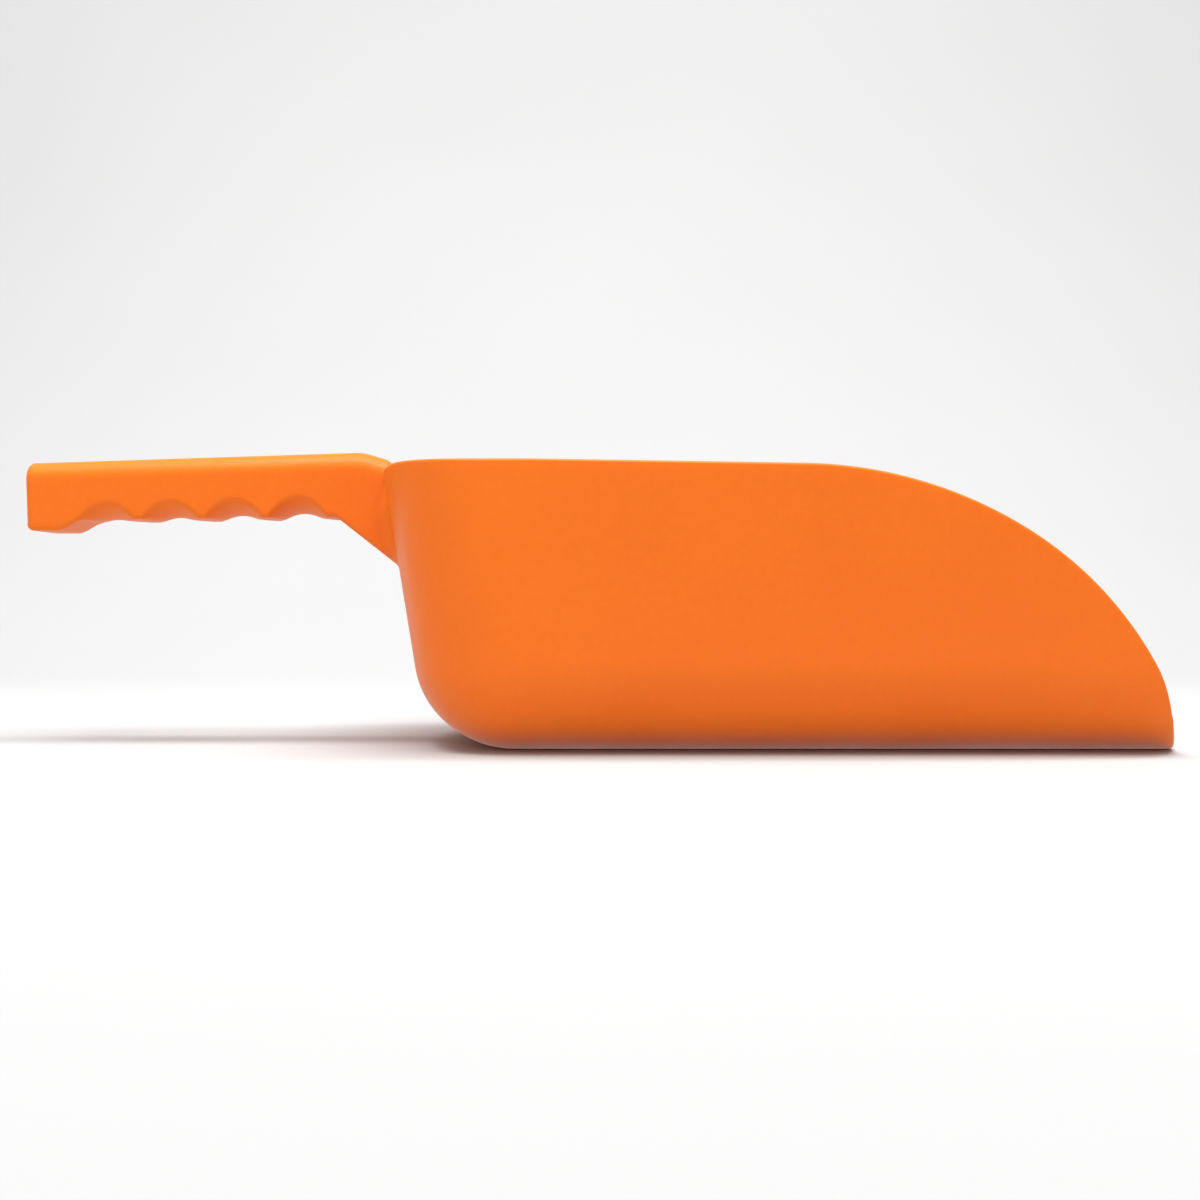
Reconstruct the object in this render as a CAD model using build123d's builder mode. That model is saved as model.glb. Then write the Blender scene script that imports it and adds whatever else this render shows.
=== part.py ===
from build123d import *
from math import acos, atan2, cos, degrees, radians, sin, sqrt, tan
import os

# A large one-piece hand scoop for bulk goods, moulded in plastic.
# Frame: +X points to the lip, +Y across the scoop, +Z up. The scoop stands on its flat floor at Z = 0, and
# the origin is under the middle of its overall length. Millimetres and degrees.
# The moulding is made in its two working regions, bowl and handle, which meet on the rear wall's outer face.

# --- bowl ---------------------------------------------------------------------------------------------------
rim_height = 96.8          # rear and side rim above the floor's underside
rim_half_width = 76.0      # outside, at the rim
side_draft = 3.0           # lean of the side walls
rear_rim_x = -75.2         # outside of the rear wall at the rim, on the centre line
rear_lean = 9.2            # lean of the rear wall
rear_bulge = 200.0         # plan radius of the rear wall at the rim
rim_corner = 26.0          # plan radius of the upright rear corners at the rim
floor_corner = 33.5        # the same at floor level
floor_radius = 32.0        # round between the walls and the floor
wall = 3.0                 # thickness of every wall and of the floor
form_top = 112.0           # the wall surfaces are drawn up to here, above the handle

# --- lip and rim line ---------------------------------------------------------------------------------------
lip_x = 204.3              # foremost point of the lip
lip_bulge = 180.0          # plan radius of the lip
rim_fall_x = -23.0         # the rim is level behind here, then falls gently
rim_fall = 1.4             # how far it falls before the front curve
front_start_x = 69.3       # the front curve starts here
front_radius_upper = 142.0
front_turn_upper = 31.6    # degrees turned by the upper arc
front_radius_lower = 121.5
front_run_angle = 60.0     # slope of the straight run below the arcs
front_end_height = 6.0     # the run ends here, inside the lip cut
rim_round = 1.0            # round on the inner and outer edges of the rim

# --- handle -------------------------------------------------------------------------------------------------
handle_width = 28.0
handle_end_x = -204.4
handle_end_top = 100.7     # top of the handle at its end
handle_tilt = 1.85         # the handle rises towards the bowl
handle_top_round = 6.5     # round along the two top edges
end_height = 24.7          # depth of the end block
end_length = 14.0
end_step = 6.0
end_round = 2.5
under_start = 79.5         # underside height behind the end block
under_end = 81.0           # underside height at the web
web_start_x = -91.4        # the web's slope starts here
web_foot_x = -69.8
web_foot_height = 64.3     # and ends here on the rear wall
nose_start_x = -83.0       # the handle's top slopes down from here to the rim
nose_slope = 17.0
nose_ease = 20.0
handle_under_round = 2.5   # round along the two lower edges
root_round = 2.2           # round where the handle meets the rear wall

# --- finger grooves: rings cut around an axis that runs along the top of the handle --------------------------
groove_count = 4
groove_first = 28.9        # from the end of the handle to the first groove's centre
groove_pitch = 22.9
groove_tube = 12.7         # radius of the finger
groove_core = 22.4         # radius left uncut around the axis
groove_axis_lift = 1.2     # the axis is this far above the top of the handle
groove_edge_round = 1.5

clear = 40.0               # cutting bodies reach this far past what they cut


def outline_at(height, skin):
    """Plan outline of the bowl at a height, drawn skin mm inside the outer surface and open to the front."""
    half = rim_half_width - (rim_height - height) * tan(radians(side_draft)) - skin
    bulge = rear_bulge - (rim_height - height) * tan(radians(rear_lean)) - skin
    bulge_centre_x = rear_rim_x + rear_bulge
    corner = floor_corner + (rim_corner - floor_corner) * height / rim_height - skin
    front_x = lip_x + clear
    corner_x = bulge_centre_x - sqrt(bulge**2 - half**2)
    with BuildSketch(Plane.XY.offset(height)) as outline:
        with BuildLine():
            Line((front_x, -half), (corner_x, -half))
            ThreePointArc((corner_x, -half), (bulge_centre_x - bulge, 0), (corner_x, half))
            Line((corner_x, half), (front_x, half))
            Line((front_x, half), (front_x, -half))
        make_face()
        fillet(outline.vertices().group_by(Axis.X)[0], corner)
    return outline.sketch


def bowl_form(skin):
    """Solid form of the bowl, skin mm inside its outer surface, with the floor round all the way along."""
    with BuildPart() as form:
        add(outline_at(skin, skin))
        add(outline_at(form_top, skin))
        loft(ruled=True)
        floor_edges = form.faces().sort_by(Axis.Z)[0].edges().sort_by(Axis.X)[:-1]
        fillet(floor_edges, floor_radius - skin)
    return form.part


outer_form = bowl_form(0)
inner_form = bowl_form(wall)

# --- the cut that leaves the rim line and the curved front edges of the side walls ---------------------------
with BuildPart() as rim_cut:
    with BuildSketch(Plane.XZ):
        with BuildLine():
            level = Line((handle_end_x, rim_height), (rim_fall_x, rim_height))
            fall = Line(level @ 1, (front_start_x, rim_height - rim_fall))
            upper = JernArc(fall @ 1, fall % 1, front_radius_upper, -front_turn_upper)
            run_start_angle = front_turn_upper + degrees(atan2(rim_fall, front_start_x - rim_fall_x))
            lower = JernArc(upper @ 1, upper % 1, front_radius_lower, run_start_angle - front_run_angle)
            run_length = ((lower @ 1).Y - front_end_height) / sin(radians(front_run_angle))
            run = PolarLine(lower @ 1, run_length, -front_run_angle)
            out = Line(run @ 1, (lip_x + 2 * clear, front_end_height))
            up = Line(out @ 1, (lip_x + 2 * clear, form_top + clear))
            back = Line(up @ 1, (handle_end_x, form_top + clear))
            Line(back @ 1, level @ 0)
        make_face()
    extrude(amount=rim_half_width + clear, both=True)

# --- the cut that leaves the bowed lip -----------------------------------------------------------------------
with BuildPart() as lip_cut:
    with BuildSketch(Plane.XY.offset(-clear)):
        with BuildLine():
            side = rim_half_width + clear
            side_x = lip_x - lip_bulge + sqrt(lip_bulge**2 - side**2)
            lip = ThreePointArc((side_x, -side), (lip_x, 0), (side_x, side))
            Polyline(lip @ 1, (lip_x + 2 * clear, side), (lip_x + 2 * clear, -side), lip @ 0)
        make_face()
    extrude(amount=form_top + 2 * clear)

with BuildPart() as front_cut:
    add(rim_cut.part)
    add(lip_cut.part)

# --- bowl: floor, side walls, rear wall and lip --------------------------------------------------------------
def lies_on(edge, body):
    """True where an edge runs along the surface of a body."""
    surface = body.shell()
    return all(surface.distance_to(edge @ place) < 0.01 for place in (0.2, 0.5, 0.8))


def is_rim_edge(edge):
    """True for the inner and outer edges that the front cut leaves on the walls."""
    return lies_on(edge, front_cut.part) and (lies_on(edge, outer_form) or lies_on(edge, inner_form))


with BuildPart() as bowl:
    add(outer_form)
    add(inner_form, mode=Mode.SUBTRACT)
    add(front_cut.part, mode=Mode.SUBTRACT)
    fillet(bowl.edges().filter_by(is_rim_edge), rim_round)

# --- handle: grip, end block, web and nose -------------------------------------------------------------------
handle_direction = (cos(radians(handle_tilt)), 0, sin(radians(handle_tilt)))


def grip_top(x):
    """Height of the handle's top line at a place along the scoop."""
    return handle_end_top + (x - handle_end_x) * tan(radians(handle_tilt))


ring_axis = Plane(
    origin=(handle_end_x, 0, handle_end_top + groove_axis_lift), x_dir=(0, 1, 0), z_dir=handle_direction
)

with BuildPart() as rings:
    with Locations([ring_axis.offset(groove_first + n * groove_pitch) for n in range(groove_count)]):
        Torus(groove_core + groove_tube, groove_tube)

# the outside of the rear of the bowl, as a block up to the rim
with BuildPart() as rear_block:
    add(outer_form)
    add(front_cut.part, mode=Mode.SUBTRACT)


def is_groove_edge(edge):
    """True for the edges of the finger grooves."""
    return any(lies_on(edge, ring) for ring in rings.solids())


def is_side_edge(edge):
    """True for the long edges on the two sides of the handle."""
    return abs(edge.center().Y) > handle_width / 2 - 0.01 and edge.length > groove_pitch / 8


def is_root_edge(edge):
    """True for the edges where the handle and the web run into the rear wall, below the rim."""
    centre = edge.center()
    near_handle = abs(centre.Y) < handle_width / 2 + 0.01 and web_foot_height - 1 < centre.Z < rim_height - 1
    return near_handle and centre.X < 0 and lies_on(edge, rear_block.part)


with BuildPart() as handle:
    with BuildSketch(Plane.XZ):
        with BuildLine():
            inside_x = rear_rim_x + clear
            web_slope = (under_end - web_foot_height) / (web_foot_x - web_start_x)
            Polyline(
                (handle_end_x, handle_end_top),
                (nose_start_x, grip_top(nose_start_x)),
                (inside_x, grip_top(nose_start_x) - (inside_x - nose_start_x) * tan(radians(nose_slope))),
                (inside_x, under_end - (inside_x - web_start_x) * web_slope),
                (web_start_x, under_end),
                (handle_end_x + end_length + end_step, under_start),
                (handle_end_x + end_length, handle_end_top - end_height),
                (handle_end_x + (end_height * sin(radians(handle_tilt))), handle_end_top - end_height),
                close=True,
            )
        make_face()
    extrude(amount=handle_width / 2, both=True)
    nose_edge = handle.edges().filter_by(Axis.Y).sort_by(Axis.Z)[-1]
    fillet(nose_edge, nose_ease)
    fillet(handle.edges().filter_by(is_side_edge).filter_by_position(Axis.Z, rim_height, form_top), handle_top_round)
    under_edges = handle.edges().filter_by(is_side_edge).filter_by_position(Axis.Z, 0, under_end)
    fillet(under_edges.filter_by_position(Axis.X, handle_end_x, web_start_x), handle_under_round)
    fillet(handle.faces().sort_by(Axis.X)[0].edges(), end_round)
    add(rings.part, mode=Mode.SUBTRACT)
    fillet(handle.edges().filter_by(is_groove_edge), groove_edge_round)
    add(rear_block.part)
    fillet(handle.edges().filter_by(is_root_edge), root_round)
    add(rear_block.part, mode=Mode.SUBTRACT)
    add(inner_form, mode=Mode.SUBTRACT)

bowl.part.label = "bowl"
handle.part.label = "handle"
os.makedirs("parts", exist_ok=True)
for region in (bowl, handle):
    export_step(region.part, f"parts/{region.part.label}.step")
    box = region.part.bounding_box()
    print(f"{region.part.label}: {region.part.volume / 1000:.1f} cm3, {box.min} to {box.max}")
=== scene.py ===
# %% [markdown]
# # A moulded hand scoop
# This lesson builds a large orange hand scoop, the one-piece kind that is used for flour, ice or grain. The
# real scoop is one injection moulding: a deep bowl 3 mm thick, and a solid grip with four finger grooves.
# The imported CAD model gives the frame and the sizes. Blender makes the finished surfaces and the plastic.

import math

import bmesh
import bpy
import numpy as np
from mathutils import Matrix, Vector


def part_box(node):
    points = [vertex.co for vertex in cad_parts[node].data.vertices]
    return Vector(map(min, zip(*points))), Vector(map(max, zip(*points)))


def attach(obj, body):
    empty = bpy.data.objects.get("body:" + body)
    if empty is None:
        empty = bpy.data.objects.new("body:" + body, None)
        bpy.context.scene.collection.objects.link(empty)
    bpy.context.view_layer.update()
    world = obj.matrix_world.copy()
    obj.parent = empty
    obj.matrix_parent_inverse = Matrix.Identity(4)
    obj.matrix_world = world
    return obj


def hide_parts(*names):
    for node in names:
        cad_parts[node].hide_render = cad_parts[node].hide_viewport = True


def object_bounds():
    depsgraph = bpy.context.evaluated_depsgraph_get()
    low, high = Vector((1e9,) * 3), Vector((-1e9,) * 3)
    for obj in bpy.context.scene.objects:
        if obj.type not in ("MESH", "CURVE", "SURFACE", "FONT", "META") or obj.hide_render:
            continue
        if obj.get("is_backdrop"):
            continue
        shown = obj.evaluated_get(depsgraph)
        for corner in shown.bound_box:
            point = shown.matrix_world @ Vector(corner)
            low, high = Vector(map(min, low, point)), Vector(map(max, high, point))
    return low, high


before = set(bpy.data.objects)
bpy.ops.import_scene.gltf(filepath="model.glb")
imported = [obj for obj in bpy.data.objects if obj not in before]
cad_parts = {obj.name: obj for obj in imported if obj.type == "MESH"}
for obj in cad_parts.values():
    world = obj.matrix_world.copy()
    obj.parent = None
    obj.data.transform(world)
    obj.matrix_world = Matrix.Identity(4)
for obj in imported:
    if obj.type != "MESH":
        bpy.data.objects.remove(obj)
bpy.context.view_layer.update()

# %% [markdown]
# ## Sizes
# The CAD boxes give the outer sizes. The radii and slopes are the mould's own numbers. They are kept in
# millimetres, because that is how a mould is dimensioned, and turned to metres when a mesh is made.

# %% Sizes from the frame
MM = 0.001
bowl_high = np.array(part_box("bowl")[1]) / MM
handle_low = np.array(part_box("handle")[0]) / MM
rim_height = bowl_high[2]
lip_x = bowl_high[0]
edge_round = 1.0                    # round on the rim's edges
wall = 3.0                          # thickness of the moulding
print(f"rim {rim_height:.1f} mm high, lip at {lip_x:.1f} mm")

# %% [markdown]
# ## The bowl's outline
# Seen from above, each level of the bowl is a straight side, a round corner, a gently bowed rear wall, and
# the same again. The walls lean outwards, so each level is a little larger than the one below it. One
# function draws the outline at any level. Its difference between the floor and the rim says how each column
# of the wall leans.

# %% Plan outline at a level
rim_loss = 0.05                     # the round on the rim takes this much off its half width
rim_half_width = bowl_high[1] + rim_loss
side_slope = math.tan(math.radians(3.0))
rear_slope = math.tan(math.radians(9.2))
rear_x = -75.2                      # rear wall at the rim, on the centre line
rear_bulge = 200.0                  # plan radius of the rear wall
bulge_x = rear_x + rear_bulge       # its centre
corner_rim, corner_floor = 26.0, 37.0       # radius of the rear corners at the rim and at the floor
straight_x = -20.0                  # the side walls are straight from here to the lip


def outline(height, steps=(8, 22, 20)):
    """Plan points and outward normals of side, corner and half the rear wall, with a count for each."""
    half = rim_half_width - (rim_height - height) * side_slope
    bulge = rear_bulge - (rim_height - height) * rear_slope
    corner = corner_floor + (corner_rim - corner_floor) * height / rim_height
    centre_y = corner - half
    centre_x = bulge_x - math.sqrt((bulge - corner) ** 2 - centre_y ** 2)
    turn_end = math.atan2(centre_y, centre_x - bulge_x)
    side = np.linspace(0, 1, steps[0], endpoint=False)
    turn = np.linspace(-math.pi / 2, turn_end, steps[1], endpoint=False)
    rear = np.linspace(turn_end, -math.pi, steps[2])
    points = np.concatenate([
        np.stack([straight_x + (centre_x - straight_x) * side, np.full_like(side, -half)], 1),
        np.stack([centre_x + corner * np.cos(turn), centre_y + corner * np.sin(turn)], 1),
        np.stack([bulge_x + bulge * np.cos(rear), bulge * np.sin(rear)], 1)])
    angles = np.concatenate([np.full_like(side, -math.pi / 2), turn, rear])
    return points, np.stack([np.cos(angles), np.sin(angles)], 1)


base_points, base_normals = outline(0.0)
rim_points, _ = outline(rim_height)
lean = (rim_points - base_points) / rim_height      # sideways travel of the wall for each mm of height
print(f"{len(base_points)} columns from the near side to the middle of the rear wall")

# %% [markdown]
# ## From a flat pattern to the round bottom
# Going down a column, the wall is straight, then it turns into the floor on a radius of 32 mm, and then the
# floor runs flat. So a point is named by how far it lies along that line, as on a flat sheet before it is
# bent. `bend` turns such a distance into a place. Distances are measured up from the start of the round.

# %% Bend a flat distance into the wall, round and floor
floor_radius = 32.0


def bend(base, normal, drift, along):
    """Places on the outer skin and outward normals, for distances `along` from where the floor turns up."""
    slope = np.sum(drift * normal, axis=-1)
    angle = np.arctan(slope)
    start = -floor_radius * (1 - np.sin(angle)) / np.cos(angle)
    turned = np.clip(along / floor_radius, 0, math.pi / 2 - angle)
    beyond = along - turned * floor_radius
    straight = np.where(along > 0, beyond, 0)
    flat = np.where(along < 0, along, 0)
    outwards = start + flat + floor_radius * np.sin(turned) + straight * np.sin(angle)
    height = floor_radius * (1 - np.cos(turned)) + straight * np.cos(angle)
    sideways = drift - normal * slope[..., None]
    contact = floor_radius * (1 - np.sin(angle))      # the round touches the wall at this height
    rise = np.maximum(height - contact, 0) * (rim_height - floor_radius) / (rim_height - contact)
    plan = base + normal * outwards[..., None] + sideways * (floor_radius + rise)[..., None]
    places = np.concatenate([plan, height[..., None]], axis=-1)
    facing = np.concatenate([normal * np.sin(turned)[..., None], -np.cos(turned)[..., None]], axis=-1)
    return places, facing


def along_at_height(height, slope):
    """The flat distance of a wall point at a height, on a wall of this slope."""
    angle = np.arctan(slope)
    round_top = floor_radius * (1 - np.sin(angle))
    in_round = np.arccos(np.clip(1 - height / floor_radius, -1, 1)) * floor_radius
    on_wall = (math.pi / 2 - angle) * floor_radius + (height - round_top) / np.cos(angle)
    return np.where(height < round_top, in_round, on_wall)


side_lean = math.atan(side_slope)
round_length = (math.pi / 2 - side_lean) * floor_radius
side_half = rim_half_width - rim_height * side_slope
floor_half = side_half - floor_radius * (1 - math.sin(side_lean)) / math.cos(side_lean)
print(f"the flat floor is {2 * floor_half:.1f} mm wide, the round is {round_length:.1f} mm long")

# %% [markdown]
# ## The rim line and the lip
# From the side, the rim is level, falls a little, and then sweeps down in two large arcs and a short
# straight run. From above, the lip is one bowed line. Where they meet the corner is softened with a smooth
# minimum, which takes the smaller of two values but rounds the place where they cross. Both lines are drawn
# 1 mm inside the real edge, because the round of the edge is added later as its own strip.

# %% Rim line, lip line and their meeting
fall_start, fall_end, fall_drop = straight_x, 69.3, 1.4
arc_upper, arc_lower = 142.0, 121.5                 # radii of the two arcs
arc_change = math.radians(31.6)                     # how far the rim turns in the upper arc
arc_finish = math.radians(60.0)                     # how steep it is where the lower arc ends
arc_steps = 200                                     # places along each arc
sweep_foot = 12.0                                   # the sweep ends at this height
foot_reach = 60.0                                   # below it, the sweep's line runs this far past the lip
lip_bulge = 180.0                                   # plan radius of the lip
corner_soft = 5.0                                   # how softly the sweep and the lip meet


def sweep_line(inset):
    """The rim in side view as dense x and z arrays, from its level part to the floor."""
    angle = math.atan2(fall_drop, fall_end - fall_start)
    x, z = [fall_start, fall_end], [rim_height, rim_height - fall_drop]
    angles = [0.0, angle]
    for radius, end in ((arc_upper, angle + arc_change), (arc_lower, arc_finish)):
        centre = (x[-1] - radius * math.sin(angle), z[-1] - radius * math.cos(angle))
        turn = np.linspace(angle, end, arc_steps)[1:]
        x += list(centre[0] + radius * np.sin(turn))
        z += list(centre[1] + radius * np.cos(turn))
        angles += list(turn)
        angle = end
    x.append(x[-1] + (z[-1] - sweep_foot) / math.tan(angle))
    z.append(sweep_foot)
    x.append(x[-1] + foot_reach)                     # so that the sweep leaves the lip alone down there
    z.append(0.0)
    angles += [angle, angle]
    return np.array(x) - inset * np.sin(angles), np.array(z) - inset * np.cos(angles)


sweep_x, sweep_z = sweep_line(edge_round)


def smooth_min(a, b, soft):
    """The smaller of two values, rounded over the width `soft` where they cross."""
    mix = np.clip(0.5 + 0.5 * (b - a) / soft, 0, 1)
    return b * (1 - mix) + a * mix - soft * mix * (1 - mix)


def front_x(y, z):
    """How far forward the skin reaches at a place on the cross-section."""
    lip = lip_x - lip_bulge + np.sqrt((lip_bulge - edge_round) ** 2 - y ** 2)
    sweep = np.interp(-z, -sweep_z, sweep_x)
    return smooth_min(lip, sweep, corner_soft)


middle_reach = float(front_x(np.array(0.0), np.array(0.0)))
print(f"on the middle line the sheet ends at x = {middle_reach:.1f} mm")

# %% [markdown]
# ## The bowl as a sheet
# The outer skin is made first, as a sheet of quads. Its rows follow the floor, the round and the walls, and
# its columns run to the front edge, so both the rim and the lip are clean edge loops. A boolean cut would
# give the same outline, but with ragged triangles beside the rim that can't be rounded cleanly.

# %% Sheet rows and columns
floor_rows, round_rows, wall_rows = 14, 30, 20
column_hold = 30                    # how late the columns near the rim lean forward
floor_steps = np.linspace(-floor_half, 0, floor_rows, endpoint=False)
round_steps = np.linspace(0, round_length, round_rows, endpoint=False)
wall_share = np.linspace(0, 1, wall_rows + 1)


def front_patch(columns=118):
    """Places and normals from the straight start of the side wall to the lip and rim, on the near side."""
    share = np.linspace(0, 1, columns)
    corner_x = sweep_x[arc_steps]                    # the top row ends where the two arcs meet
    top_x = straight_x + (corner_x - straight_x) * share
    top_along = along_at_height(np.interp(top_x, sweep_x, sweep_z), side_slope)
    rows = [(np.full(columns, along), 0.0) for along in np.concatenate([floor_steps, round_steps])]
    rows += [(round_length + part * (top_along - round_length), part) for part in wall_share]
    normal = np.tile([0.0, -1.0], (columns, 1))
    base = np.stack([np.zeros(columns), np.full(columns, -side_half)], 1)
    grid = []
    for along, part in rows:
        places, facing = bend(base, normal, normal * side_slope, along)
        reach = corner_x if part == 1.0 else front_x(places[-1, 1], places[-1, 2])
        late = 1 + column_hold * part ** 2           # near the rim, columns lean forward only at their end
        places[:, 0] = top_x + (reach - corner_x) * share ** late
        grid.append((places, facing))
    return [np.array(values) for values in zip(*grid)]


def rear_patch():
    """Places and normals from the straight side round the corner to the middle of the rear wall."""
    slope = np.sum(lean * base_normals, axis=1)
    top = along_at_height(np.full(len(slope), rim_height - edge_round), slope)
    turn_length = (math.pi / 2 - np.arctan(slope)) * floor_radius
    foot, down = bend(base_points, base_normals, lean, np.zeros(len(slope)))
    middle = np.array([straight_x, 0.0, 0.0])
    floor_share = np.linspace(0, 1, floor_rows, endpoint=False)
    grid = [(middle + (foot - middle) * part, down) for part in floor_share]
    distances = [turn_length * step / round_length for step in round_steps]
    distances += [turn_length + (top - turn_length) * part for part in wall_share]
    grid += [bend(base_points, base_normals, lean, along) for along in distances]
    return [np.array(values) for values in zip(*grid)]


front, front_facing = front_patch()
rear, rear_facing = rear_patch()
print(f"front {front.shape[0]} x {front.shape[1]} places, rear {rear.shape[0]} x {rear.shape[1]}")

# %% [markdown]
# ## Thickness and rounded edge
# The inner skin is the outer skin moved in by the wall thickness. A strip that runs once along the whole
# edge joins the two. Its profile is a quarter circle, a narrow land and another quarter circle, as on the
# real rim. A Solidify and a Bevel modifier could do this too, but where the rim turns into the front sweep
# the sheet's corner is nearly straight, and a bevel tears there.

# %% Strip along the edge
strip_steps = 6                     # places round each of the edge's two quarter circles


def off_sheet(edge, facing):
    """Unit directions in the sheet that point off its edge."""
    run = np.gradient(edge, axis=0)
    run[0] = [0, -1, 0]
    run[-1] = [0, 1, 0]
    off = np.cross(run, facing)
    return off / np.linalg.norm(off, axis=1)[:, None]


def edge_strip(edge, inner_edge, off):
    """Rows of places that round the sheet's edge from the outer skin to the inner skin."""
    through = (inner_edge - edge) / wall
    rows = []
    for turn in np.linspace(0, math.pi / 2, strip_steps):
        rows.append(edge + edge_round * (math.sin(turn) * off + (1 - math.cos(turn)) * through))
    for turn in np.linspace(0, math.pi / 2, strip_steps):
        rows.append(inner_edge + edge_round * (math.cos(turn) * off - (1 - math.sin(turn)) * through))
    return np.array(rows)


path = np.concatenate([front[:, -1], front[-1, -2::-1], rear[-1, 1:]])
path_facing = np.concatenate([front_facing[:, -1], front_facing[-1, -2::-1], rear_facing[-1, 1:]])
off = off_sheet(path, path_facing)

# The rim is cut level, not square to the leaning walls, so its inner edge sits a little lower.
level = -path_facing[:, 2:] * off[:, 2:]
inner_path = path - wall * (path_facing + level * off)
strip = edge_strip(path, inner_path, off)

# Both inner skins take that edge as their last row or column.
front_inner = front - wall * front_facing
rear_inner = rear - wall * rear_facing
tall, wide = front.shape[:2]
front_inner[:, -1] = inner_path[:tall]
front_inner[-1] = inner_path[tall - 1:tall + wide - 1][::-1]
rear_inner[-1] = inner_path[tall + wide - 2:]
print(f"edge strip: {strip.shape[0]} rows, {strip.shape[1]} columns")

# %% [markdown]
# ## From grids to a mesh
# Every grid is half of the scoop. The other half is its mirror image, and the two are welded on the middle
# plane. That halves the numbers and keeps the scoop exactly symmetrical.

# %% Build the bowl
weld_distance = 0.01 * MM


def quads_of(grid, offset):
    """Face corners of a grid of rows and columns whose vertices start at `offset`."""
    rows, columns = grid.shape[:2]
    index = offset + np.arange(rows * columns).reshape(rows, columns)
    return np.stack([index[:-1, :-1], index[1:, :-1], index[1:, 1:], index[:-1, 1:]], -1).reshape(-1, 4)


def half_mesh(name, grids, marks=None):
    """One closed mesh from grids in millimetres and their mirror images, with named numbers per place."""
    vertices, faces, start = [], [], 0
    for side in (1, -1):
        for grid in grids:
            vertices.append((grid * [1, side, 1]).reshape(-1, 3))
            faces.append(quads_of(grid, start))
            start += grid.shape[0] * grid.shape[1]
    mesh = bpy.data.meshes.new(name)
    mesh.from_pydata((np.concatenate(vertices) * MM).tolist(), [], np.concatenate(faces).tolist())
    for mark, numbers in (marks or {}).items():
        layer = mesh.attributes.new(mark, "FLOAT", "POINT")
        layer.data.foreach_set("value", np.tile(numbers.ravel(), 2))
    work = bmesh.new()
    work.from_mesh(mesh)
    bmesh.ops.remove_doubles(work, verts=work.verts, dist=weld_distance)
    bmesh.ops.recalc_face_normals(work, faces=work.faces)
    print(f"{name}: {len(work.faces)} faces, {work.calc_volume(signed=True) * 1e6:.1f} cm3,",
          f"{sum(not edge.is_manifold for edge in work.edges)} open edges")
    work.to_mesh(mesh)
    work.free()
    mesh.shade_smooth()
    return mesh


def place(name, mesh):
    """Links a mesh to the scene as an object at the origin."""
    piece = bpy.data.objects.new(name, mesh)
    bpy.context.scene.collection.objects.link(piece)
    return piece


bowl = place("scoop_bowl", half_mesh("scoop_bowl", [front, rear, front_inner, rear_inner, strip]))
print(f"bowl box {[round(v, 4) for v in bowl.dimensions]} m")

# %% [markdown]
# ## Three helpers for nodes
# The plastic and the grip's grooves are both made with node trees. Adding nodes one by one in Python takes
# many lines, so three short helpers do the repeated work: one adds any node and fills its inputs, one adds
# a maths node, and one starts a node group with named sockets.

# %% Helpers for node trees
def node(tree, kind, inputs=None, **settings):
    """Adds a node with its settings, and fills its inputs with numbers or links."""
    made = tree.nodes.new(kind)
    for key, value in settings.items():
        setattr(made, key, value)
    for key, value in (inputs or {}).items():
        if isinstance(value, bpy.types.NodeSocket):
            tree.links.new(value, made.inputs[key])
        else:
            made.inputs[key].default_value = value
    return made


def calc(tree, operation, *terms):
    """Adds a maths node and returns its result."""
    return node(tree, "ShaderNodeMath", dict(enumerate(terms)), operation=operation).outputs[0]


def new_group(name, kind, inputs, outputs):
    """A node group with named sockets. Returns the tree, its input sockets and its output node."""
    tree = bpy.data.node_groups.new(name, kind)
    for label, socket_kind in inputs:
        tree.interface.new_socket(name=label, in_out="INPUT", socket_type=socket_kind)
    for label, socket_kind in outputs:
        tree.interface.new_socket(name=label, in_out="OUTPUT", socket_type=socket_kind)
    return tree, tree.nodes.new("NodeGroupInput").outputs, tree.nodes.new("NodeGroupOutput")


print("node helpers:", [helper.__name__ for helper in (node, calc, new_group)])

# %% [markdown]
# ## The pigment
# The real scoop is orange polypropylene. Its pigment is a little uneven, as it is where the melt has
# flowed, so a broad noise and a fine speckle blend two close oranges. It could be one flat colour, but then
# a large smooth wall looks like paint. A node group keeps the effect apart from the shader.

# %% Node group for the pigment
flow_share, speckle_share = 0.7, 0.3
blend_low, blend_high = 0.35, 0.65          # noise values that give the first and the deep colour

tree, given, result = new_group("pigment", "ShaderNodeTree",
                                [("Colour", "NodeSocketColor"), ("Deep Colour", "NodeSocketColor")],
                                [("Colour", "NodeSocketColor")])
where = node(tree, "ShaderNodeTexCoord").outputs["Object"]
flow = node(tree, "ShaderNodeTexNoise", {"Vector": where, "Scale": 11.0, "Detail": 2.0}).outputs[0]
speckle = node(tree, "ShaderNodeTexNoise", {"Vector": where, "Scale": 420.0, "Detail": 2.0}).outputs[0]
blend = calc(tree, "MULTIPLY_ADD", speckle, speckle_share, calc(tree, "MULTIPLY", flow, flow_share))
blend = node(tree, "ShaderNodeMapRange", {0: blend, 1: blend_low, 2: blend_high}).outputs[0]
mixed = node(tree, "ShaderNodeMixRGB", {0: blend, 1: given["Colour"], 2: given["Deep Colour"]})
tree.links.new(mixed.outputs[0], result.inputs["Colour"])
pigment = tree
print(f"group {pigment.name}: {len(pigment.nodes)} nodes")

# %% [markdown]
# ## The moulded skin
# The skin is satin. It has fine grain from the mould, patches that are a little glossier, and faint
# lengthwise scuffs from use, which show only where the patches are dull. The scuffs are a noise
# stretched along the scoop and cut off high, so only its thin peaks stay. The group gives a roughness and a
# height for the bump.

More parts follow.
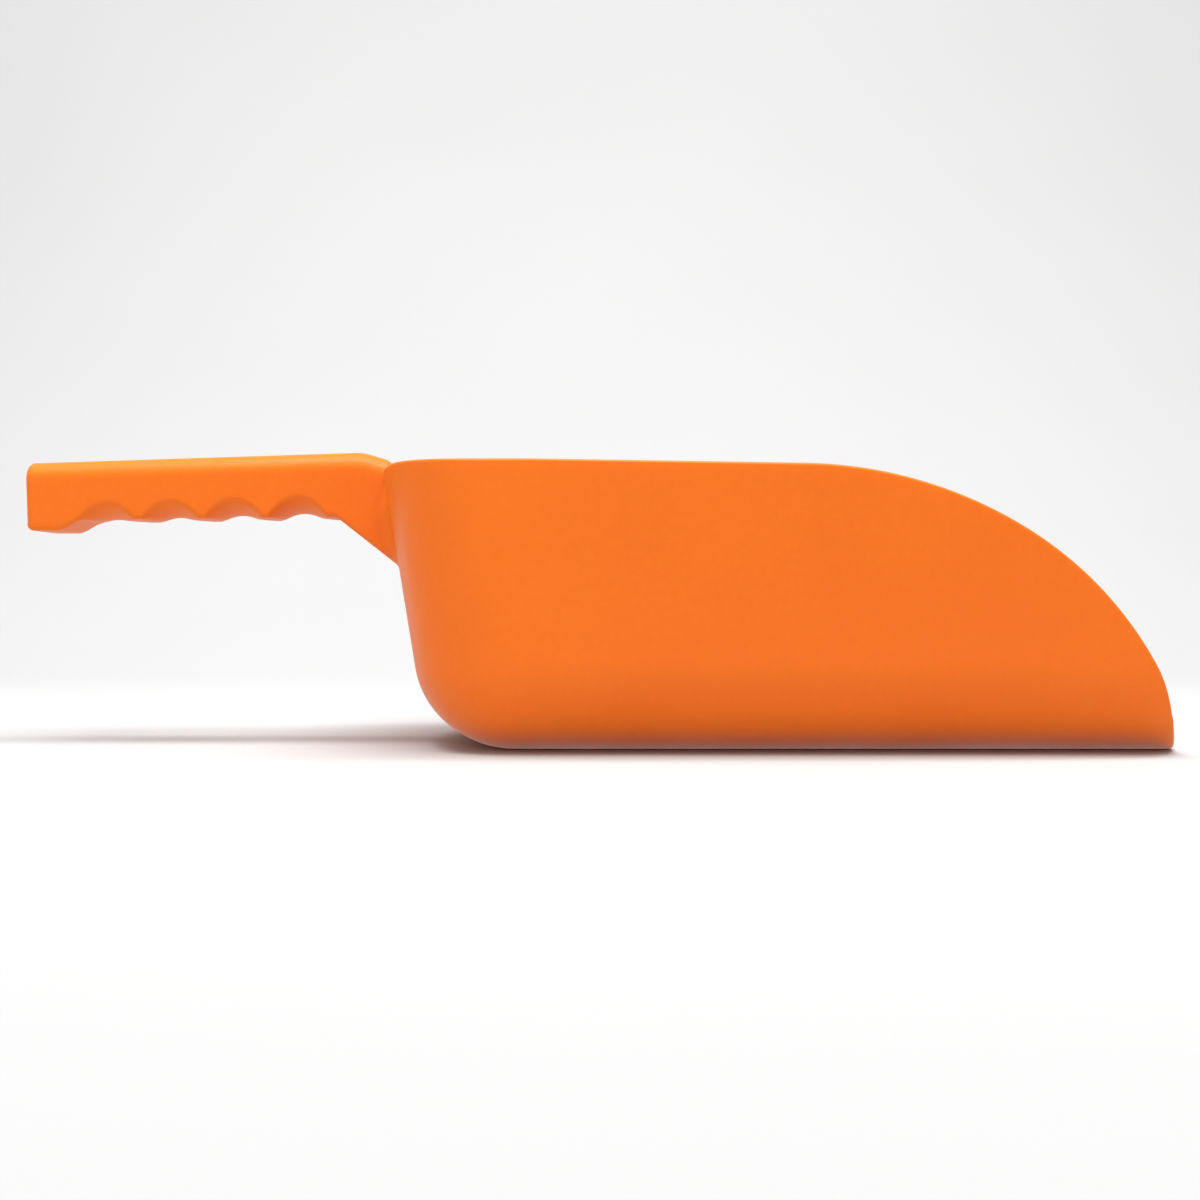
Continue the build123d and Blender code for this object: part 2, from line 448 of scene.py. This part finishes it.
# %% Node group for the skin
scuff_low, scuff_high = 0.66, 0.74          # peaks of the stretched noise that become scuffs
worn_low, worn_high = 0.45, 0.7             # patches that carry scuffs
patch_swing = 0.16                          # how much the patches change the roughness
scuff_roughness, scuff_depth = 0.15, -0.5

tree, given, result = new_group("moulded_skin", "ShaderNodeTree",
                                [("Roughness", "NodeSocketFloat"), ("Scuffs", "NodeSocketFloat")],
                                [("Roughness", "NodeSocketFloat"), ("Height", "NodeSocketFloat")])
where = node(tree, "ShaderNodeTexCoord").outputs["Object"]
grain = node(tree, "ShaderNodeTexNoise", {"Vector": where, "Scale": 1500.0, "Detail": 3.0}).outputs[0]
patches = node(tree, "ShaderNodeTexNoise", {"Vector": where, "Scale": 24.0, "Detail": 3.0}).outputs[0]
stretch = node(tree, "ShaderNodeMapping", {"Vector": where, "Scale": (14.0, 900.0, 900.0)}).outputs[0]
lines = node(tree, "ShaderNodeTexNoise", {"Vector": stretch, "Scale": 1.0, "Detail": 1.0}).outputs[0]
lines = node(tree, "ShaderNodeMapRange", {0: lines, 1: scuff_low, 2: scuff_high}).outputs[0]
worn = node(tree, "ShaderNodeMapRange", {0: patches, 1: worn_low, 2: worn_high}).outputs[0]
scuffs = calc(tree, "MULTIPLY", calc(tree, "MULTIPLY", lines, worn), given["Scuffs"])
uneven = calc(tree, "SUBTRACT", patches, 0.5)
rough = calc(tree, "MULTIPLY_ADD", uneven, patch_swing, given["Roughness"])
rough = calc(tree, "MULTIPLY_ADD", scuffs, scuff_roughness, rough)
tree.links.new(rough, result.inputs["Roughness"])
tree.links.new(calc(tree, "MULTIPLY_ADD", scuffs, scuff_depth, grain), result.inputs["Height"])
moulded_skin = tree
print(f"group {moulded_skin.name}: {len(moulded_skin.nodes)} nodes")

# %% [markdown]
# ## One material for the whole moulding
# Polypropylene lets a little light in, so a trace of subsurface scattering softens the shading. The two
# groups feed the colour, the roughness and the bump. The plain numbers sit on the shader itself.

# %% The orange plastic
orange = (0.90, 0.178, 0.004, 1.0)
deep_orange = (0.86, 0.160, 0.003, 1.0)

plastic = bpy.data.materials.new("scoop_plastic")
plastic.use_nodes = True
tree = plastic.node_tree
shader = tree.nodes["Principled BSDF"]
colour = node(tree, "ShaderNodeGroup", {}, node_tree=pigment)
colour.inputs["Colour"].default_value = orange
colour.inputs["Deep Colour"].default_value = deep_orange
skin = node(tree, "ShaderNodeGroup", {}, node_tree=moulded_skin)
skin.inputs["Roughness"].default_value = 0.42
skin.inputs["Scuffs"].default_value = 0.5
bump = node(tree, "ShaderNodeBump", {"Height": skin.outputs["Height"], "Strength": 0.12, "Distance": 0.0001})
tree.links.new(colour.outputs["Colour"], shader.inputs["Base Color"])
tree.links.new(skin.outputs["Roughness"], shader.inputs["Roughness"])
tree.links.new(bump.outputs["Normal"], shader.inputs["Normal"])
shader.inputs["IOR"].default_value = 1.49
shader.inputs["Specular IOR Level"].default_value = 0.3
shader.inputs["Subsurface Weight"].default_value = 0.12
shader.inputs["Subsurface Radius"].default_value = (1.0, 0.35, 0.1)
shader.inputs["Subsurface Scale"].default_value = 0.003
bowl.data.materials.append(plastic)
print(f"material {plastic.name}: {len(tree.nodes)} nodes and two groups")

# %% [markdown]
# ## The grip as a blank
# A grip is a bar with round edges that starts in a flat end and runs into the rear wall. It is built as
# loops round the bar. Each loop is one cross-section, given as places from the middle of the underside to
# the middle of the top. Working half a section at a time keeps both sides of the grip exactly alike.

# %% Half a cross-section
half_width = 14.0
under_round, top_round, end_round = 1.7, 6.5, 2.5       # radii of the grip's edges


def half_section(under_places=12, round_places=9, side_places=12, top_places=8):
    """For each place on half a section: side distance, share of height, offset from it, outward normal."""
    quarter = np.linspace(0, math.pi / 2, round_places)
    flat_under = np.linspace(0, half_width - under_round, under_places, endpoint=False)
    flat_top = np.linspace(half_width - top_round, 0, top_places)[1:]
    side = np.linspace(0, 1, side_places)[1:-1]
    lower_turn = half_width - under_round + under_round * np.sin(quarter)
    upper_turn = half_width - top_round + top_round * np.cos(quarter)
    across = np.concatenate([flat_under, lower_turn, np.full_like(side, half_width), upper_turn, flat_top])
    share = np.concatenate([np.zeros(len(flat_under) + round_places), side,
                            np.ones(round_places + len(flat_top))])
    lift = np.concatenate([np.zeros_like(flat_under), under_round * (1 - np.cos(quarter)),
                           under_round - (under_round + top_round) * side,
                           top_round * (np.sin(quarter) - 1), np.zeros_like(flat_top)])
    facing = np.concatenate([np.full_like(flat_under, -math.pi / 2), quarter - math.pi / 2,
                             np.zeros_like(side), quarter, np.full_like(flat_top, math.pi / 2)])
    return across, share, lift, facing


across, share, lift, facing = half_section()
print(f"{len(across)} places on half a section")

# %% [markdown]
# ## The grip's long lines
# Three lines carry the grip from its end to the bowl: its top, which rises gently and then drops to the rim
# as a nose, its underside, and the web that runs down the rear wall. The end block is deeper than the rest.

# %% Top and underside
end_loss = 0.08                                     # the leaning end's rounds take this much off
handle_end = handle_low[0] - end_loss
end_top, tilt = 100.67, math.radians(1.85)          # height of the top at the end, and its rise
nose_x, nose_slope = -83.0, math.tan(math.radians(17.0))
nose_soft = 1.1                                     # how softly the top turns down into the nose
end_depth = 24.7                                    # height of the end block
block_from, block_to = 11.5, 21.0                   # the block blends into the grip this far from the end
under_from, under_to = 79.5, 81.0                   # height of the underside at the end and at the web
web_x, web_foot_x, web_foot_z = -92.2, -69.8, 63.4  # where the web starts, and its foot on the wall
web_soft = 1.0                                      # how softly the underside turns down into the web


def smooth_step(low, high, value):
    """Rises smoothly from 0 at low to 1 at high."""
    mix = np.clip((value - low) / (high - low), 0, 1)
    return mix * mix * (3 - 2 * mix)


def top_line(x):
    """Height of the grip's top."""
    rising = end_top + (x - handle_end) * math.tan(tilt)
    nose_top = end_top + (nose_x - handle_end) * math.tan(tilt)
    return smooth_min(rising, nose_top - (x - nose_x) * nose_slope, nose_soft)


def under_line(x):
    """Height of the blank's underside: end block, grip and web."""
    grip = under_from + (under_to - under_from) * (x - handle_end) / (web_x - handle_end)
    block = end_top - end_depth
    grip = block + (grip - block) * smooth_step(handle_end + block_from, handle_end + block_to, x)
    web = under_to - (x - web_x) * (under_to - web_foot_z) / (web_foot_x - web_x)
    return smooth_min(grip, web, web_soft)


def wall_x(y, z):
    """The rear wall's outer face."""
    bulge = rear_bulge - (rim_height - z) * rear_slope
    return bulge_x - np.sqrt(bulge ** 2 - y ** 2)


print(f"top {top_line(np.array(handle_end)):.1f} to {top_line(np.array(nose_x)):.1f} mm")

# %% [markdown]
# ## Loops from the end to the wall
# Each loop is pulled in at the free end to round it over, and let out near the wall, where the plastic
# flares into it. The flare is a quarter circle that ends flat against the wall, so no seam shows. Over the
# rim there is no wall to flare into, so there the same quarter circle turns inwards and rounds the nose.

# %% Faces at the two ends, and the round at the root
flare_round, nose_round = 5.0, -1.8                 # the flare goes outwards, the nose's round inwards
under_flare = 0.2                                   # share of the flare that is left under the web
flare_fade = rim_height - 14.0                      # from here up the flare shrinks
rim_near = rim_height - 2.4                         # here it is gone, and the nose starts
over_wall = rim_height - 0.6                        # from here up the root lies on the wall's inner face
nose_whole = rim_height + 0.6                       # from here up the nose has its full round
past_wall = 0.02                                    # the nose ends just past the inner face


def end_plane(z):
    """The free end leans a little, square to the tilted top."""
    return handle_end + (end_top - z) * math.sin(tilt)


def root_face(y, z):
    """Where the grip ends: on the wall's outer face, and above the rim on its inner face."""
    return wall_x(y, z) + (wall + past_wall) * smooth_step(rim_near, over_wall, z)


def root_round(z):
    """Radius at the root: a flare beside the grip, less below it, and an inward round above the rim."""
    flare = flare_round * (1 - smooth_step(flare_fade, rim_near, z))
    flare = flare * (under_flare + (1 - under_flare) * np.clip(1 + np.sin(facing), 0, 1))
    return flare + nose_round * smooth_step(rim_near, nose_whole, z)


end_lean = float(end_plane(end_top - end_depth) - end_plane(end_top))
print(f"the free end leans {end_lean:.2f} mm over its height")

# %% [markdown]
# ## Close the blank
# The loops and two caps make one closed skin. A loop's places depend on x, and x depends on where the
# places lie, so each loop is worked out a few times over until it settles. The caps shrink a loop towards
# one centre. The one at the root lies inside the bowl's wall, where it can't be seen.

# %% Build the blank
end_steps, bar_loops, root_steps = 7, 170, 11       # loops round the end, along the bar and at the root
first_guess, settle_times = -75.0, 6                # x that a loop starts from, and how often it is redone
end_centre, root_centre = 88.5, 84.0                # height of the caps' centres
end_rings, root_rings = 8, 24
sunk = 1.5                                          # the hidden end lies this deep in the wall
hidden_low, hidden_high = rim_height - 2.2, rim_height - 1.2    # between them it comes out to the inner face


def loop(x_of, offset):
    """One half loop: x from a rule, and an offset along the section's normal."""
    x = np.full_like(across, first_guess)
    for _ in range(settle_times):
        low = under_line(x)
        z = (1 - share) * low + share * top_line(x) + lift + offset * np.sin(facing)
        y = across + offset * np.cos(facing)
        x = x_of(y, z)
    return np.stack([x, y, z, low], 1)


def blank_loops():
    """All half loops from the free end to the wall."""
    loops = []
    for turn in np.linspace(math.pi / 2, 0, end_steps):
        inset = end_round * (1 - math.cos(turn))
        ahead = end_round * (1 - math.sin(turn))
        loops.append(loop(lambda y, z: end_plane(z) + ahead, -inset))
    for part in np.linspace(0, 1, bar_loops)[1:-1]:
        loops.append(loop(lambda y, z: (1 - part) * (end_plane(z) + end_round)
                          + part * (root_face(y, z) - abs(root_round(z))), 0.0))
    for turn in np.linspace(0, math.pi / 2, root_steps):
        height = loops[-1][:, 2]
        radius = root_round(height)
        loops.append(loop(lambda y, z: root_face(y, z) - abs(radius) * (1 - math.sin(turn)),
                          radius * (1 - math.cos(turn))))
    return np.array(loops)


def cap(rim_loop, centre, face, rings):
    """Half rings that close a loop towards its centre, on the surface that `face` describes."""
    inner = []
    for part in np.linspace(1, 0, rings, endpoint=False)[1:]:
        y = rim_loop[:, 1] * part
        z = centre + (rim_loop[:, 2] - centre) * part
        inner.append(np.stack([face(y, z), y, z, rim_loop[:, 3]], 1))
    middle = np.tile([face(np.array(0.0), np.array(centre)), 0.0, centre], (len(rim_loop), 1))
    inner.append(np.column_stack([middle, rim_loop[:, 3]]))
    return inner


def hidden_face(y, z):
    """The closing face at the root: inside the wall, but flush with its inner face beside the rim."""
    return wall_x(y, z) + sunk + (wall + past_wall - sunk) * smooth_step(hidden_low, hidden_high, z)


body = blank_loops()
free_end = cap(body[0], end_centre, lambda y, z: end_plane(z), end_rings)
root_end = cap(body[-1], root_centre, hidden_face, root_rings)
blank = np.array(free_end[::-1] + list(body) + root_end)
marks = {"under": blank[..., 3] * MM, "carry": np.tile(1 - share, (len(blank), 1))}
handle = place("scoop_handle", half_mesh("scoop_handle", [blank[..., :3]], marks))
print(f"grip blank: {blank.shape[0]} loops of {2 * blank.shape[1] - 2} places")

# %% [markdown]
# ## Finger grooves by rule
# The four grooves are one shape repeated at a fixed pitch, so Geometry Nodes cuts them. Each is the inside
# of a ring: a finger-thick tube swept round an axis near the grip's top. For every point of the blank the
# tree finds the nearest groove, works out how high its surface lies there, and lifts the underside to it.
# The blank carries two numbers for this: `under`, the height of its underside, and `carry`, which is 1 on
# the underside and falls to 0 on the top. The sides are therefore squeezed, not cut, and stay smooth.

# %% Start the tree and find the nearest groove
grooves, given, result = new_group("finger_grooves", "GeometryNodeTree", [
    ("Geometry", "NodeSocketGeometry"), ("Count", "NodeSocketInt"), ("First", "NodeSocketFloat"),
    ("Pitch", "NodeSocketFloat"), ("Finger Radius", "NodeSocketFloat"), ("Core Radius", "NodeSocketFloat"),
    ("Axis Height", "NodeSocketFloat"), ("Axis Slope", "NodeSocketFloat"), ("Softness", "NodeSocketFloat"),
    ("Material", "NodeSocketMaterial")], [("Geometry", "NodeSocketGeometry")])
grooves.is_modifier = True
position = node(grooves, "GeometryNodeInputPosition").outputs[0]
x, y, _ = node(grooves, "ShaderNodeSeparateXYZ", {0: position}).outputs
under = node(grooves, "GeometryNodeInputNamedAttribute", {"Name": "under"}, data_type="FLOAT").outputs[0]
carry = node(grooves, "GeometryNodeInputNamedAttribute", {"Name": "carry"}, data_type="FLOAT").outputs[0]

travel = calc(grooves, "SUBTRACT", x, given["First"])
nearest = calc(grooves, "ROUND", calc(grooves, "DIVIDE", travel, given["Pitch"]))
nearest = calc(grooves, "MAXIMUM", nearest, 0.0)
nearest = calc(grooves, "MINIMUM", nearest, calc(grooves, "SUBTRACT", given["Count"], 1.0))
aside = calc(grooves, "SUBTRACT", travel, calc(grooves, "MULTIPLY", nearest, given["Pitch"]))
print(f"nearest groove: {len(grooves.nodes)} nodes so far")

# %% [markdown]
# ## The groove's surface
# `aside` is the distance along the grip from the middle of the nearest groove. In the middle the ring's
# inside lies at the core radius from its axis, and to both sides it moves outwards along the finger's
# circle. Across the grip the ring is a circle about its axis, so the height of its surface follows from y.
# Past both ends of the row the surface drops steeply, so the end block and the web stay whole.

# %% Height of the groove's surface
drop_off = -4.0                     # slope of the surface past both ends of the row

finger_square = calc(grooves, "POWER", given["Finger Radius"], 2.0)
aside_square = calc(grooves, "POWER", aside, 2.0)
finger = calc(grooves, "SUBTRACT", finger_square, aside_square)
finger = calc(grooves, "SQRT", calc(grooves, "MAXIMUM", finger, 0.0))
ring = calc(grooves, "ADD", given["Core Radius"], given["Finger Radius"])
radius = calc(grooves, "SUBTRACT", ring, finger)
drop = calc(grooves, "SUBTRACT", calc(grooves, "POWER", radius, 2.0), calc(grooves, "POWER", y, 2.0))
drop = calc(grooves, "SQRT", calc(grooves, "MAXIMUM", drop, 0.0))
axis = calc(grooves, "MULTIPLY_ADD", travel, given["Axis Slope"], given["Axis Height"])
surface = calc(grooves, "SUBTRACT", axis, drop)
beyond = calc(grooves, "SUBTRACT", calc(grooves, "ABSOLUTE", aside), given["Finger Radius"])
beyond = calc(grooves, "MAXIMUM", beyond, 0.0)
surface = calc(grooves, "MULTIPLY_ADD", beyond, drop_off, surface)
print(f"with the surface: {len(grooves.nodes)} nodes")

# %% [markdown]
# ## Lift the underside
# The underside goes up to the higher of the two, itself and the surface, with a soft edge between them. The
# tree ends in Realize Instances and Set Material, so what leaves it is plain geometry in the plastic.

# %% Lift the underside and finish the tree
raised = calc(grooves, "SMOOTH_MAX", under, surface, given["Softness"])
rise = calc(grooves, "MULTIPLY", calc(grooves, "SUBTRACT", raised, under), carry)
offset = node(grooves, "ShaderNodeCombineXYZ", {"Z": rise}).outputs[0]
moved = node(grooves, "GeometryNodeSetPosition", {"Geometry": given["Geometry"], "Offset": offset}).outputs[0]
whole = node(grooves, "GeometryNodeRealizeInstances", {"Geometry": moved}).outputs[0]
painted = node(grooves, "GeometryNodeSetMaterial", {"Geometry": whole, "Material": given["Material"]})
grooves.links.new(painted.outputs[0], result.inputs["Geometry"])
print(f"groove tree: {len(grooves.nodes)} nodes")

# %% [markdown]
# ## Press the grooves into the blank
# The inputs are set on the modifier by their sockets' identifiers. The result is then turned into a plain
# mesh, so the piece carries the shape itself and no tree.

# %% Cut the grooves
groove_count, groove_pitch = 4, 22.9
finger_radius, core_radius = 12.7, 22.4         # radii of the tube and of the ring's inside
axis_lift = 1.2                                 # the ring's axis lies this far above the grip's top
groove_soft = 1.3                               # softness of the crests
first_from_end = 28.9                           # from the free end to the middle of the first groove

first_x = handle_end + first_from_end * math.cos(tilt) + core_radius * math.sin(tilt)
settings = {
    "Count": groove_count,
    "First": first_x * MM,
    "Pitch": groove_pitch * math.cos(tilt) * MM,
    "Finger Radius": finger_radius * MM,
    "Core Radius": core_radius * MM,
    "Axis Height": (float(top_line(np.array(first_x))) + axis_lift) * MM,
    "Axis Slope": math.tan(tilt),
    "Softness": groove_soft * MM,
    "Material": plastic,
}
cutter = handle.modifiers.new("finger_grooves", "NODES")
cutter.node_group = grooves
for socket in grooves.interface.items_tree:
    if socket.in_out == "INPUT" and socket.name in settings:
        cutter[socket.identifier] = settings[socket.name]

evaluated = handle.evaluated_get(bpy.context.evaluated_depsgraph_get())
finished = bpy.data.meshes.new_from_object(evaluated)
handle.modifiers.clear()
handle.data = finished
handle.data.name = "scoop_handle"
for mark in marks:
    handle.data.attributes.remove(handle.data.attributes[mark])
print(f"grip: {len(finished.polygons)} faces, {[round(v, 4) for v in handle.dimensions]} m,",
      f"{len(finished.materials)} material")

# %% [markdown]
# ## Hand the pieces over
# Both pieces stand for regions of the same moulding, and ride on its one rigid body.

# %% Ride and replace
for piece, region in ((bowl, "bowl"), (handle, "handle")):
    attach(piece, "root")
    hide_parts(region)
    print(f"{piece.name} stands for {region}")

# %% [markdown]
# ## The studio
# The scoop stands on a pale floor that curves up into a pale backdrop, as on a product table. The curve
# has a large radius, so behind the scoop no line shows where the floor ends. The other side is open, and a
# view from behind shows the floor's far edge and the sky.

# %% Floor and backdrop
floor_front, floor_back, floor_half_width = -5.0, 0.45, 4.0         # metres, as all of the studio
curve_radius, backdrop_top = 0.9, 2.0
floor_height = -0.0002              # just below the scoop, so no two faces coincide
curve_steps = 33

profile = [(floor_front, floor_height)]
for turn in np.linspace(0, math.pi / 2, curve_steps):
    profile.append((floor_back + curve_radius * math.sin(turn),
                    floor_height + curve_radius * (1 - math.cos(turn))))
profile.append((floor_back + curve_radius, backdrop_top))
places = [(x, y, z) for y, z in profile for x in (-floor_half_width, floor_half_width)]
faces = [(2 * i, 2 * i + 1, 2 * i + 3, 2 * i + 2) for i in range(len(profile) - 1)]
sweep_mesh = bpy.data.meshes.new("studio_sweep")
sweep_mesh.from_pydata(places, [], faces)
sweep_mesh.shade_smooth()
floor = place("studio_sweep", sweep_mesh)
print(f"studio sweep: {len(faces)} faces")

# %% [markdown]
# ## The paper
# Studio backdrops are matt paper. A noise between two close greys keeps it from being perfectly even. It is
# scenery, so it is staged and isn't part of the scoop.

# %% Paper for the studio
paper_dark = (0.45, 0.45, 0.45, 1.0)
paper_light = (0.47, 0.47, 0.47, 1.0)

paper = bpy.data.materials.new("studio_paper")
paper.use_nodes = True
tree = paper.node_tree
where = node(tree, "ShaderNodeTexCoord").outputs["Object"]
tone = node(tree, "ShaderNodeTexNoise", {"Vector": where, "Scale": 3.0})
shade = node(tree, "ShaderNodeMixRGB", {0: tone.outputs[0], 1: paper_dark, 2: paper_light})
tree.links.new(shade.outputs[0], tree.nodes["Principled BSDF"].inputs["Base Color"])
tree.nodes["Principled BSDF"].inputs["Roughness"].default_value = 0.9
tree.nodes["Principled BSDF"].inputs["Specular IOR Level"].default_value = 0.1
floor.data.materials.append(paper)
floor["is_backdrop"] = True
print(f"material {paper.name} on {floor.name}")

# %% [markdown]
# ## Light
# Satin plastic shows its shape in soft light. A strong softbox above draws the pale line on the rim and the
# top of the grip. A wide, weak one in front evens out the side, and a third washes the backdrop. A pale sky
# fills the rest. A single lamp would be simpler, but it would leave hard shadows.

# %% Lights and sky
def soft_light(name, place_at, aim_at, size, power):
    """A rectangular area light that faces a point."""
    data = bpy.data.lights.new(name, "AREA")
    data.shape = "RECTANGLE"
    data.size, data.size_y = size
    data.energy = power
    lamp = bpy.data.objects.new(name, data)
    lamp.location = place_at
    lamp.rotation_euler = (Vector(aim_at) - Vector(place_at)).to_track_quat("-Z", "Y").to_euler()
    bpy.context.scene.collection.objects.link(lamp)
    return lamp


soft_light("top_softbox", (0.0, -0.28, 1.1), (0.0, 0.0, 0.05), (0.85, 0.62), 12.6)
fill = soft_light("front_softbox", (0.0, -1.7, 0.41), (0.0, 0.0, 0.05), (4.0, 0.8), 2.5)
wash = soft_light("backdrop_softbox", (0.0, 0.1, 1.9), (0.0, 1.2, 0.25), (2.4, 0.5), 44.0)
for shy in (fill, wash, floor):
    shy.visible_glossy = False      # only the top light and the sky draw highlights on the plastic

sky = bpy.data.worlds.new("pale_sky")
sky.use_nodes = True
sky.node_tree.nodes["Background"].inputs["Color"].default_value = (1.0, 1.0, 1.0, 1.0)
sky.node_tree.nodes["Background"].inputs["Strength"].default_value = 0.70
bpy.context.scene.world = sky
bpy.context.scene.view_settings.view_transform = "Standard"

# %% [markdown]
# ## Camera
# The camera looks level at the scoop's side from nearly half its height, one and a half lengths away. From
# so near, the near wall of the bowl looks larger than the grip behind it, as it does to the eye.

# %% Camera
camera_shift = 0.003                # metres past the middle, towards the lip
camera_away, camera_height = 1.502, 0.488       # shares of the scoop's length and height

low, high = (np.array(corner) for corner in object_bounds())
length = high[0] - low[0]
camera = bpy.data.objects.new("camera", bpy.data.cameras.new("camera"))
camera.data.lens = 50.0
camera.data.sensor_width = 36.0
camera.location = ((low[0] + high[0]) / 2 + camera_shift, -camera_away * length, camera_height * high[2])
camera.rotation_euler = (math.pi / 2, 0.0, 0.0)
bpy.context.scene.collection.objects.link(camera)
bpy.context.scene.camera = camera
print("camera at", [round(v, 3) for v in camera.location])
